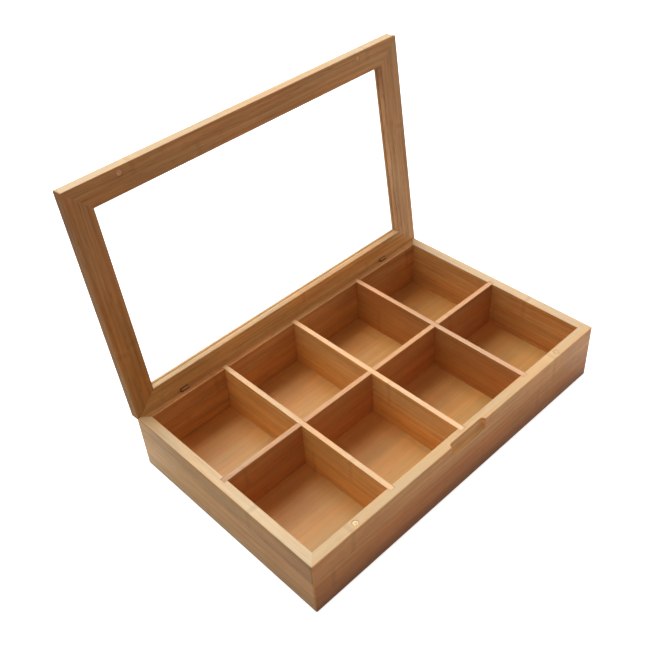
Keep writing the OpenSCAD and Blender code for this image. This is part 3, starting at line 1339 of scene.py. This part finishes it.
@dataclass
class HingePair:
    """The two slot hinges with their leaves and pins.

    Attributes:
        dome: How far the middle of a pin's end stands out from its rim, in metres.
        dome_steps: How many facets the outline of a dome has.
    """

    dome: float = 0.2 * MM
    dome_steps: int = 6

    def build(self, finishes: Finishes) -> None:
        """Turn the pins, and dress them and the leaves.

        Args:
            finishes: The finishes to use.
        """
        material = finishes.brass_painted_shade.material()
        lengthwise = Vector((1, 0, 0))
        for side in Side:
            dress_node(f"hinge_base_leaf_{side.value}", material)
            dress_node(f"hinge_lid_leaf_{side.value}", material)
            node = f"hinge_pin_{side.value}"
            profile = self.pin_profile(size_of(node))
            piece = turned_piece(f"{node}_domed", profile, centre_of(node), lengthwise)
            piece.data.materials.append(material)
            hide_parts(node)
            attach(piece, Body.BASE.value)
            log.info("built %s", piece.name)

    def pin_profile(self, pin: Vector) -> list[tuple[float, float]]:
        """The outline of a pin with domed ends.

        Args:
            pin: The pin's size, with its length along X.

        Returns:
            Radius and height of each edge.
        """
        radius, half = pin.z / 2, pin.x / 2
        quarter = [math.pi / 2 * step / self.dome_steps for step in range(self.dome_steps + 1)]
        end = [(radius * math.sin(a), half - self.dome * (1 - math.cos(a))) for a in quarter]
        return [(r, -h) for r, h in end] + end[::-1]


# ---- The studio --------------------------------------------------------------------------------


@dataclass(frozen=True)
class SoftBox:
    """A square lamp that looks at a point.

    Attributes:
        name: The lamp's name.
        place: Where it hangs.
        target: Where it looks.
        size: The length of its sides.
        power: Its power in watts.
    """

    name: str
    place: tuple[float, float, float]
    target: tuple[float, float, float]
    size: float
    power: float

    def build(self) -> None:
        """Hang the lamp."""
        data = bpy.data.lights.new(self.name, "AREA")
        data.size = self.size
        data.energy = self.power
        lamp = place_object(self.name, data)
        lamp.location = self.place
        look = Vector(self.target) - Vector(self.place)
        lamp.rotation_euler = look.to_track_quat("-Z", "Y").to_euler()
        lamp.visible_camera = False
        log.info("hung %s", self.name)


@dataclass
class Studio:
    """The floor, the lamps, the sky and the camera.

    Attributes:
        floor_size: The length of the floor's sides.
        floor_grey: How much light the floor throws back on the box.
        floor_white: How bright the floor looks by the box with no light from the lamps.
        floor_fade: How far from the box it starts and ends growing as white as the sky.
        floor_drop: How far the floor lies under the box, so that the two never share a plane.
        paper_white: How much light the floor throws back where it is seen or mirrored.
        mirrored_glow: How bright the floor looks in a mirror with no light from the lamps.
        ambient: The light of the sky on the box.
        camera_place: Where the camera stands.
        camera_turn: Its turn about X, Y and Z, in degrees.
        focal_length: The focal length, in millimetres.
        sensor_width: The width of the sensor, in millimetres.
    """

    floor_size: float = 16.0
    floor_grey: float = 0.6
    floor_white: float = 0.72
    floor_fade: Span = (0.5, 1.6)
    floor_drop: float = 0.1 * MM
    paper_white: float = 0.9
    mirrored_glow: float = 0.1
    ambient: float = 0.215
    camera_place: tuple[float, float, float] = (-0.36396, -0.36620, 0.54158)
    camera_turn: tuple[float, float, float] = (49.7121, 3.6694, -43.9381)
    focal_length: float = 49.57
    sensor_width: float = 36.0

    def build(self) -> None:
        """Build everything round the box."""
        self.build_floor()
        self.build_sky()
        for lamp in self.lamps():
            lamp.build()
        self.build_camera()
        bpy.context.scene.view_settings.view_transform = "Standard"

    def lamps(self) -> list[SoftBox]:
        """The lamps round the box.

        Returns:
            The lamps, from the strongest to the weakest.
        """
        middle = (0.0, 0.0, 0.05)
        return [
            SoftBox("rear_softbox", (0.1, 1.8, 2.6), middle, size=2.0, power=69.0),
            SoftBox("right_softbox", (3.0, 0.0, 1.6), middle, size=1.8, power=66.0),
            SoftBox("left_fill", (-3.0, 0.0, 1.6), middle, size=1.8, power=20.0),
        ]

    def build_floor(self) -> None:
        """Lay the floor, which looks white and keeps the box's shadow."""
        mesh = bmesh.new()
        bmesh.ops.create_grid(mesh, x_segments=1, y_segments=1, size=self.floor_size / 2)
        floor = place_mesh("studio_floor", mesh)
        floor.location.z = -self.floor_drop
        graph = ShaderGraph(bpy.data.materials.new("floor_paper"))
        path = graph.add("ShaderNodeLightPath").outputs
        dull = self.paper(graph, self.floor_grey, 0.0)
        mirrored = self.paper(graph, self.paper_white, self.mirrored_glow)
        place = graph.add("ShaderNodeTexCoord").outputs["Object"]
        start, end = (distance**2 for distance in self.floor_fade)
        far = graph.rise(graph.dot(place, place), start, end, 1.0 - self.floor_white)
        seen = self.paper(graph, self.paper_white, graph.calc("ADD", far, self.floor_white))
        straight = graph.calc("MAXIMUM", path["Is Camera Ray"], path["Is Transmission Ray"])
        look = graph.choose(path["Is Glossy Ray"], dull, mirrored)
        floor.data.materials.append(graph.finish(graph.choose(straight, look, seen)))
        log.info("laid the floor")

    @staticmethod
    def paper(graph: ShaderGraph, shade: float, glow: Value) -> Socket:
        """Matt paper that glows a little.

        Args:
            graph: The graph to add to.
            shade: How much light the paper throws back.
            glow: How bright it is with no light on it.

        Returns:
            The shader.
        """
        matt = graph.add("ShaderNodeBsdfDiffuse", {"Color": (shade, shade, shade, 1.0)})
        light = graph.add("ShaderNodeEmission", {"Strength": glow})
        both = graph.add("ShaderNodeAddShader")
        graph.fill(both, matt.outputs[0], light.outputs[0])
        return both.outputs[0]

    def build_sky(self) -> None:
        """Set the sky, which looks white and lights the box softly."""
        graph = ShaderGraph(bpy.data.worlds.new("studio_sky"))
        path = graph.add("ShaderNodeLightPath").outputs
        mirrored = graph.calc("MAXIMUM", path["Is Glossy Ray"], path["Is Transmission Ray"])
        seen = graph.calc("MAXIMUM", path["Is Camera Ray"], mirrored)
        limits = {"Value": seen, "To Min": self.ambient, "To Max": 1.0}
        level = graph.add("ShaderNodeMapRange", limits).outputs[0]
        sky = graph.add("ShaderNodeBackground", {"Color": WHITE, "Strength": level})
        bpy.context.scene.world = graph.finish(sky.outputs[0])
        log.info("set the sky")

    def build_camera(self) -> None:
        """Set up the camera."""
        data = bpy.data.cameras.new("camera")
        data.lens = self.focal_length
        data.sensor_width = self.sensor_width
        camera = place_object("camera", data)
        camera.location = self.camera_place
        camera.rotation_euler = [math.radians(turn) for turn in self.camera_turn]
        bpy.context.scene.camera = camera
        log.info("set up the camera")


def main() -> None:
    """Build the looks of the box and the studio round it."""
    logging.basicConfig(level=logging.INFO, format="%(message)s")
    finishes = Finishes()
    pose = LidPose.from_frame()
    Carcass().dress(finishes)
    DividerGrid().dress(finishes)
    LidFrame(pose).dress(finishes)
    MagnetPairs(pose).build(finishes)
    HingePair().build(finishes)
    Studio().build()


if __name__ == "__main__":
    main()
